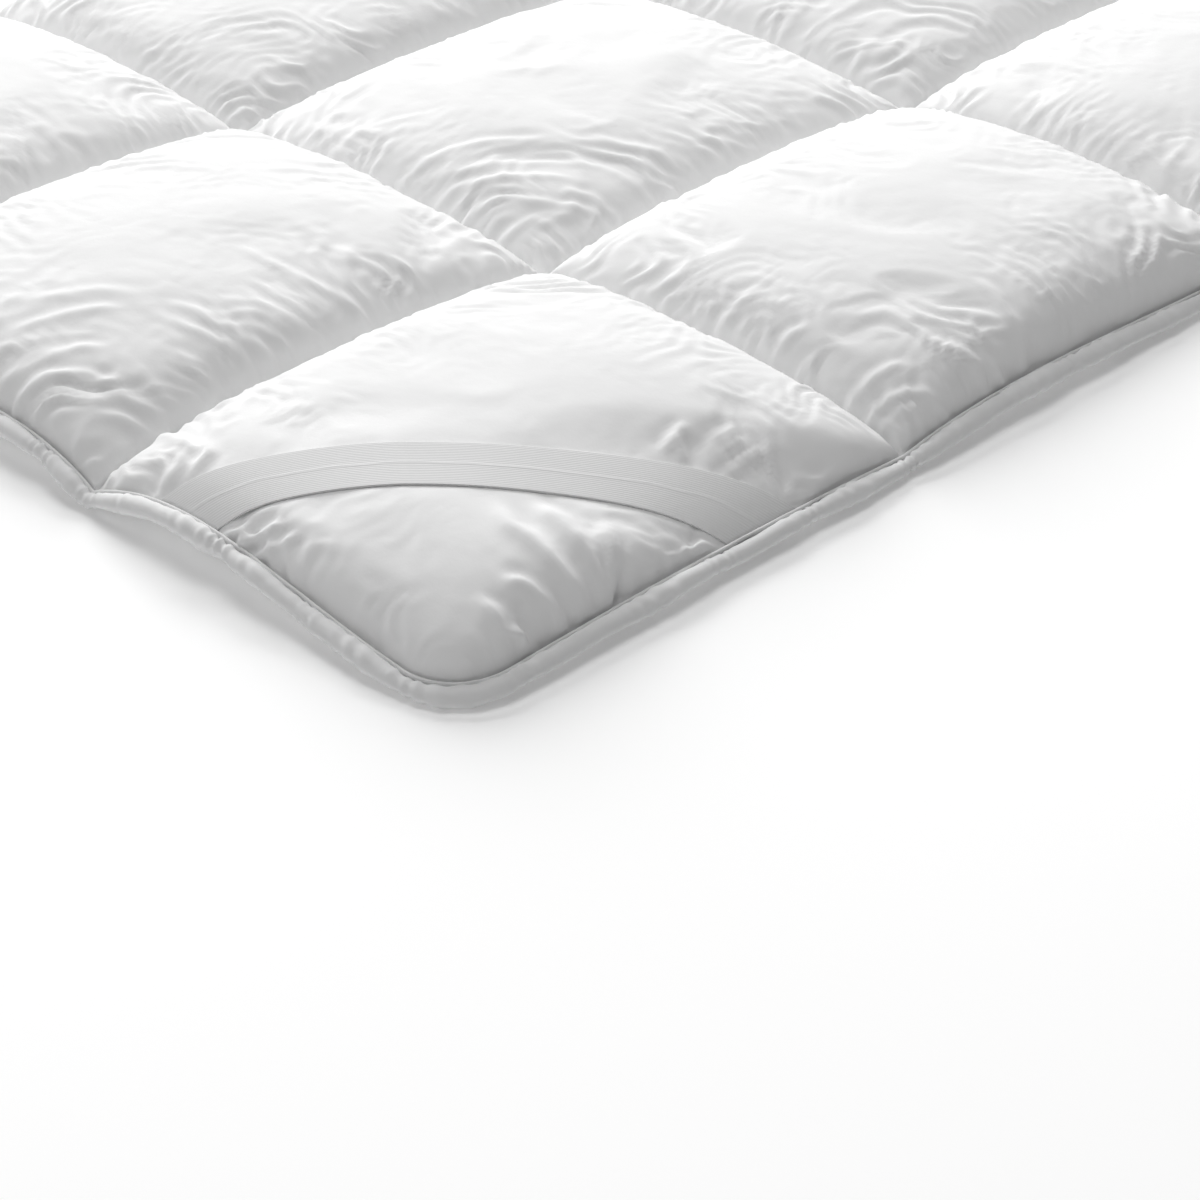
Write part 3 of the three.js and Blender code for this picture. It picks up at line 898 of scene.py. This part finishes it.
BAND_STEPS_ALONG = 130
BAND_STEPS_ACROSS = 160
BAND_GUIDES = 13
RIB_PITCH = 1.6 * MM
RIB_HEIGHT = 0.05 * MM
STITCH_LINE_HEIGHT = 0.15 * MM
STITCH_LINE_WIDTH = 1.1 * MM
STITCH_LINE_WANDER = 0.5 * MM

# The band's course, measured in the photo: its height at its ends above the seam, the height of its
# front and back edge at its highest place as shares of the crown, and its rise between these.
BAND_END_RISE = 4 * MM
BAND_TOP = {"front": 0.868, "back": 0.944}
BAND_PEAK = 0.37
RISE_BLUR = 9
BAND_RUN = [0, 0.02, 0.05, 0.1, 0.18, 0.26, 0.33, 0.37, 0.48, 0.55, 0.63, 0.7, 0.78, 0.85, 0.93, 0.98, 1]
BAND_RISE = [0, 0.2, 0.4, 0.62, 0.805, 0.93, 0.985, 1, 0.97, 0.928, 0.855, 0.78, 0.675, 0.55, 0.33, 0.127, 0]

# Each corner: the signs of its x and y.
CORNERS = {
    "southeast": (1, -1),
    "northeast": (1, 1),
    "northwest": (-1, 1),
    "southwest": (-1, -1),
}


def corner_pad(corner):
    """The column and row of the pad at a corner."""
    sign_x, sign_y = CORNERS[corner]
    return (0 if sign_x < 0 else PADS_ACROSS - 1), (0 if sign_y < 0 else PADS_ALONG - 1)


def rim_point(corner, on_short_side, from_corner):
    """The point of the outer seam at a distance from a corner, on its short or its long side."""
    sign_x, sign_y = CORNERS[corner]
    tx, ty = float(sign_x > 0), float(sign_y > 0)
    if on_short_side:
        tx -= sign_x * from_corner / PITCH_X
    else:
        ty -= sign_y * from_corner / PITCH_Y
    column, row, tx, ty = (np.array([value]) for value in (*corner_pad(corner), tx, ty))
    x, y = lay_out(column, row, tx, ty)
    return np.array([x[0], y[0], seam_surface(column, row, tx, ty)[0]])


def band_ends(corner, share):
    """Where a thread of a band is sewn into the short and the long side of a corner."""
    short = BAND_ON_SHORT_SIDE["near"] + share * (BAND_ON_SHORT_SIDE["far"] - BAND_ON_SHORT_SIDE["near"])
    long = BAND_ON_LONG_SIDE["near"] + share * (BAND_ON_LONG_SIDE["far"] - BAND_ON_LONG_SIDE["near"])
    return rim_point(corner, True, short), rim_point(corner, False, long)


def band_rise():
    """The band's rise along its course, from 0 at its ends to 1 at its highest place, smoothed."""
    run = np.linspace(0, 1, BAND_STEPS_ALONG + 1)
    rise = np.interp(run, BAND_RUN, BAND_RISE)
    window = np.hanning(2 * RISE_BLUR + 3)[1:-1]
    padded = np.pad(rise, RISE_BLUR, mode="reflect", reflect_type="odd")
    return run, np.convolve(padded, window / window.sum(), mode="valid")


def band_thread(corner, share):
    """One thread of a band's upper face, from the short side's seam over the pad to the long side's."""
    start, end = band_ends(corner, share)
    run, rise = band_rise()
    column, row = corner_pad(corner)
    top_share = BAND_TOP["front"] + share * (BAND_TOP["back"] - BAND_TOP["front"])
    top = CROWNS[row, column] * MM * top_share
    foot = np.where(run < BAND_PEAK, start[2], end[2]) + BAND_END_RISE
    plan = start[:2] + (end - start)[:2] * run[:, None]
    return np.column_stack([plan, foot + (top - foot) * rise])


def band_form(corner):
    """A band's upper face as a grid of points, from its front edge to its back edge."""
    return np.stack([band_thread(corner, share) for share in np.linspace(0, 1, BAND_GUIDES)])


def across_band(guides, count):
    """More threads between the guides, evenly spread across the band."""
    wanted = np.linspace(0, len(guides) - 1, count)
    low = np.minimum(wanted.astype(int), len(guides) - 2)
    part = (wanted - low)[:, None, None]
    return guides[low] * (1 - part) + guides[low + 1] * part


def make_band(corner):
    """A ribbed elastic band, with the raised, slightly wavy line of stitches along its middle."""
    guides = band_form(corner)
    threads = across_band(guides, BAND_STEPS_ACROSS + 1)
    piece = grid_piece(f"band_{corner}_elastic", BAND_STEPS_ALONG, BAND_STEPS_ACROSS)
    along = np.gradient(threads, axis=1)
    over = np.gradient(threads, axis=0)
    normal = np.cross(along, over)
    normal /= np.linalg.norm(normal, axis=2)[..., None]
    normal *= np.sign(normal[..., 2:3])
    place = np.linspace(0, BAND_WIDTH, BAND_STEPS_ACROSS + 1)[:, None]
    length = np.linalg.norm(np.diff(guides[BAND_GUIDES // 2], axis=0), axis=1).sum()
    run = np.linspace(0, length, BAND_STEPS_ALONG + 1)[None, :]
    ribs = RIB_HEIGHT * np.cos(place * (2 * math.pi / RIB_PITCH))
    seed = sum(map(ord, corner))
    line_points = np.stack([run[0], 0 * run[0]], -1)
    line = BAND_WIDTH / 2 + STITCH_LINE_WANDER * smooth_noise(line_points, 34 * MM, seed)[None, :]
    stitches = STITCH_LINE_HEIGHT * np.exp(-(((place - line) / STITCH_LINE_WIDTH) ** 2))
    lifted = threads + normal * (ribs + stitches)[..., None]
    put_places(piece.data, lifted.reshape(-1, 3))
    if piece.data.polygons[0].normal.z < 0:
        piece.data.flip_normals()
    wall = piece.modifiers.new("thickness", "SOLIDIFY")
    wall.thickness = BAND_THICKNESS
    wall.offset = -1
    return piece, length


# How far beside a band the cloth eases back, and how it curves up there.
PRESS_SPREAD = 50 * MM
SHOULDER_RADIUS = 7 * MM
CLOTH_BELOW_BAND = 0.3 * MM
END_FADE = 7 * MM
GAP_CELLS = 4
CORNER_WIDTH = 340 * MM
CORNER_LENGTH = 380 * MM
UNDER_MARGIN = 20 * MM
ABOVE_ALL = 200 * MM
ROOT_STEPS = 6
SHARE_LIMITS = (-4, 8)


def cross(a, b):
    """The cross product of vectors in plan."""
    return a[..., 0] * b[..., 1] - a[..., 1] * b[..., 0]


def place_on_band(corner, plan):
    """The share across a band (0 its front edge, 1 its back edge) and along it of points in plan."""
    starts, ends = zip(band_ends(corner, 0.0), band_ends(corner, 1.0))
    start, start_step = starts[0][:2], (starts[1] - starts[0])[:2]
    reach, reach_step = (ends[0] - starts[0])[:2], (ends[1] - ends[0] - starts[1] + starts[0])[:2]
    share = np.full(len(plan), 0.5)
    for _ in range(ROOT_STEPS):
        off = plan - start - share[:, None] * start_step
        along = reach + share[:, None] * reach_step
        slope = cross(np.broadcast_to(reach_step, off.shape), off) - cross(along, start_step)
        share = np.clip(share - cross(along, off) / slope, *SHARE_LIMITS)
    return share, (off * along).sum(1) / (along * along).sum(1)


def sample(grid, share, run):
    """A grid of values over a band, read between its points."""
    down = np.clip(share, 0, 1) * (grid.shape[0] - 1)
    right = np.clip(run, 0, 1) * (grid.shape[1] - 1)
    row = np.minimum(down.astype(int), grid.shape[0] - 2)
    column = np.minimum(right.astype(int), grid.shape[1] - 2)
    v, u = down - row, right - column
    near = grid[row, column] * (1 - u) + grid[row, column + 1] * u
    far = grid[row + 1, column] * (1 - u) + grid[row + 1, column + 1] * u
    return near * (1 - v) + far * v


def cloth_under(panel, guides):
    """Height of the upper panel straight below a band's points."""
    count = panel.shape[1]
    flat = panel.reshape(-1, 3)
    low = guides.reshape(-1, 3).min(0) - UNDER_MARGIN
    high = guides.reshape(-1, 3).max(0) + UNDER_MARGIN
    inside = ((flat[:, :2] > low[:2]) & (flat[:, :2] < high[:2])).all(1)
    first = np.flatnonzero(inside)
    first = first[(first % count < count - 1) & (first + count < len(flat))]
    squares = np.stack([first, first + 1, first + count + 1, first + count], 1)
    used, packed = np.unique(squares, return_inverse=True)
    surface = BVHTree.FromPolygons(flat[used].tolist(), packed.reshape(-1, 4).tolist())
    heights = np.empty(guides.shape[:2])
    for place, point in enumerate(guides.reshape(-1, 3)):
        hit = surface.ray_cast(Vector((point[0], point[1], ABOVE_ALL)), Vector((0, 0, -1)))[0]
        heights.flat[place] = point[2] if hit is None else hit.z
    return heights


def press_under_bands(panel):
    """Fits the upper panel to each band: pressed or filled up to it, and eased away beside it."""
    flat = panel.reshape(-1, 3)
    for corner, (sign_x, sign_y) in CORNERS.items():
        guides = band_form(corner)
        face = guides[..., 2] - BAND_THICKNESS - CLOTH_BELOW_BAND
        gap = blurred((face - cloth_under(panel, guides))[..., None], GAP_CELLS)[..., 0]
        near_side = flat[:, 0] * sign_x > HALF_X - CORNER_WIDTH
        near_end = flat[:, 1] * sign_y > HALF_Y - CORNER_LENGTH
        near = np.flatnonzero(near_side & near_end)
        points = flat[near]
        share, run = place_on_band(corner, points[:, :2])
        beyond = np.maximum(np.maximum(-share, share - 1), 0) * BAND_WIDTH
        eased = np.maximum(1 - (beyond / PRESS_SPREAD) ** 2, 0) ** 2
        to_rim = np.minimum(HALF_X - np.abs(points[:, 0]), HALF_Y - np.abs(points[:, 1]))
        eased *= np.clip(to_rim / END_FADE, 0, 1)
        height = points[:, 2] + eased * sample(gap, share, run)
        lid = sample(face, share, run) + beyond**2 / (2 * SHOULDER_RADIUS)
        flat[near, 2] = np.where(eased > 0, np.minimum(height, lid), points[:, 2])
    return flat.reshape(panel.shape)


# Materials


def linear(hex_colour):
    """An sRGB hex colour as linear red, green, blue and alpha."""
    parts = [int(hex_colour[place:place + 2], 16) / 255 for place in (1, 3, 5)]
    bent = [part / 12.92 if part <= 0.04045 else ((part + 0.055) / 1.055) ** 2.4 for part in parts]
    return (*bent, 1.0)


def add_node(tree, kind, settings=None, **links):
    """Adds a node, sets its values by name, and links its inputs from other nodes' sockets."""
    node = tree.nodes.new(kind)
    for name, value in (settings or {}).items():
        if hasattr(node, name):
            setattr(node, name, value)
        else:
            node.inputs[name].default_value = value
    for name, socket in links.items():
        tree.links.new(socket, node.inputs[name])
    return node


def new_material(name, colour, roughness, specular):
    """A material, with its node tree and the shader that its plain values are set on."""
    material = bpy.data.materials.new(name)
    material.use_nodes = True
    tree = material.node_tree
    surface = tree.nodes["Principled BSDF"]
    surface.inputs["Base Color"].default_value = linear(colour)
    surface.inputs["Roughness"].default_value = roughness
    surface.inputs["Specular IOR Level"].default_value = specular
    return material, tree, surface


# Percale has about four threads a millimetre, too fine to show, so its grain is drawn coarser.
PERCALE_GRAIN = 1.2 * MM
PERCALE_CREASE = 14 * MM


def percale(name, colour, weave_strength):
    """White percale cotton, plain woven: matt and bright, with a fine grain and small soft creases."""
    material, tree, surface = new_material(name, colour, 0.88, 0.3)
    surface.inputs["Sheen Weight"].default_value = 0.15
    surface.inputs["Sheen Roughness"].default_value = 0.5
    place = add_node(tree, "ShaderNodeTexCoord").outputs["Object"]
    crumple = {"Scale": 1 / PERCALE_CREASE, "Detail": 4.0, "Roughness": 0.55}
    crumples = add_node(tree, "ShaderNodeTexNoise", crumple, Vector=place)
    grain = add_node(tree, "ShaderNodeTexNoise", {"Scale": 1 / PERCALE_GRAIN, "Detail": 2.0}, Vector=place)
    lie = {"Strength": 0.25, "Distance": 1.2 * MM}
    soft = add_node(tree, "ShaderNodeBump", lie, Height=crumples.outputs[0])
    relief = {"Strength": weave_strength, "Distance": 0.1 * MM}
    weave = add_node(tree, "ShaderNodeBump", relief, Height=grain.outputs[0], Normal=soft.outputs[0])
    tree.links.new(weave.outputs[0], surface.inputs["Normal"])
    return material


# The crosswise threads of the elastic, along a band's whole length. A wave texture of scale pi / 10
# has one wave to each unit.
WEFT_PITCH = 0.75 * MM
WEFT_RUN = 380 * MM
ONE_WAVE = math.pi / 10


def woven_elastic():
    """Flat woven elastic: matt white, its rubber cores showing as ribs, crossed by fine weft."""
    material, tree, surface = new_material("white_woven_ribbed_elastic", "#ececec", 0.75, 0.35)
    place = add_node(tree, "ShaderNodeTexCoord").outputs["UV"]
    weft = add_node(tree, "ShaderNodeMapping", {"Scale": (WEFT_RUN / WEFT_PITCH, 0, 1)}, Vector=place)
    threads = {"Scale": ONE_WAVE, "Distortion": 0.6}
    wave = add_node(tree, "ShaderNodeTexWave", threads, Vector=weft.outputs[0])
    relief = {"Strength": 0.12, "Distance": 0.1 * MM}
    bump = add_node(tree, "ShaderNodeBump", relief, Height=wave.outputs[0])
    tree.links.new(bump.outputs[0], surface.inputs["Normal"])
    return material


def white_ground():
    """Matt white studio paper, which takes a soft shadow. Its faint glow stands for a lit studio."""
    material, _, surface = new_material("matt_white_paper", "#ffffff", 1.0, 0.0)
    surface.inputs["Emission Color"].default_value = linear("#ffffff")
    surface.inputs["Emission Strength"].default_value = 0.135
    return material


shell_cotton = percale("white_percale_cotton_woven", "#f3f3f3", 0.25)
piping_cotton = percale("white_percale_cotton_bias_cut", "#ececec", 0.3)
band_elastic = woven_elastic()


# The pieces

quilt = make_quilt(press_under_bands(upper_panel()), lower_panel())
quilt.data.materials.append(shell_cotton)
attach(quilt, "root")
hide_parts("quilt")

piping = make_piping()
piping.data.materials.append(piping_cotton)
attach(piping, "root")
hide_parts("piping")

ridge = make_seam_ridge()
ridge.data.materials.append(piping_cotton)
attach(ridge, "root")

for corner in CORNERS:
    band, band_length = make_band(corner)
    band.data.materials.append(band_elastic)
    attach(band, "root")
    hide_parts(f"band_{corner}")

# Floor, light and camera

FLOOR_HALF = 15

floor_shape = bmesh.new()
bmesh.ops.create_grid(floor_shape, x_segments=1, y_segments=1, size=FLOOR_HALF)
floor = finish_shape("floor", floor_shape)
floor.data.materials.append(white_ground())

# Each softbox: its azimuth (0 is west, 90 north) and elevation in degrees, its distance from the
# near corner, its side, and its power in watts.
LIT_CORNER = Vector((0.2, -0.6, 0.0))
SOFTBOXES = {
    "low_window_behind": (32, 30, 6.0, 5.0, 500),
    "overhead": (45, 89, 5.5, 3.0, 108),
    "front_fill": (-92, 38, 5.5, 3.0, 31),
}


def softbox(name, azimuth, elevation, distance, side, power):
    """A square light aimed at the near corner."""
    lamp = bpy.data.lights.new(name, "AREA")
    lamp.shape = "SQUARE"
    lamp.size = side
    lamp.energy = power
    light = bpy.data.objects.new(name, lamp)
    bpy.context.scene.collection.objects.link(light)
    turn = math.radians(azimuth)
    lift = math.radians(elevation)
    way = Vector((-math.cos(turn) * math.cos(lift), math.sin(turn) * math.cos(lift), math.sin(lift)))
    light.location = LIT_CORNER + distance * way
    light.rotation_euler = (-way).to_track_quat("-Z", "Y").to_euler()


for name, settings in SOFTBOXES.items():
    softbox(name, *settings)

world = bpy.data.worlds.new("studio")
world.use_nodes = True
studio_air = world.node_tree.nodes["Background"]
studio_air.inputs["Color"].default_value = linear("#ffffff")
studio_air.inputs["Strength"].default_value = 0.02
bpy.context.scene.world = world
bpy.context.scene.view_settings.view_transform = "Standard"

# The camera that fits the stitched grid, the piping and the crests in the photo.
CAMERA_PLACE = Vector((1.5972, -2.0231, 1.0536))
CAMERA_AHEAD = Vector((-0.5835, 0.6066, -0.5399))
CAMERA_SIDE = Vector((0.7207, 0.6932, 0))
CAMERA_ROLL = math.radians(0.829)
FOCAL_SHARE = 3242.9 / 1200
SENSOR = 36.0


def stand_camera():
    """The camera, turned by its roll about its line of sight."""
    data = bpy.data.cameras.new("camera")
    data.sensor_width = SENSOR
    data.lens = FOCAL_SHARE * SENSOR
    data.clip_start = 0.05
    camera = bpy.data.objects.new("camera", data)
    bpy.context.scene.collection.objects.link(camera)
    ahead = CAMERA_AHEAD.normalized()
    side = CAMERA_SIDE.normalized()
    up = side.cross(ahead).normalized()
    right = side * math.cos(CAMERA_ROLL) + up * math.sin(CAMERA_ROLL)
    upright = up * math.cos(CAMERA_ROLL) - side * math.sin(CAMERA_ROLL)
    turn = Matrix((right, upright, -ahead)).transposed()
    camera.matrix_world = Matrix.Translation(CAMERA_PLACE) @ turn.to_4x4()
    return camera


bpy.context.scene.camera = stand_camera()
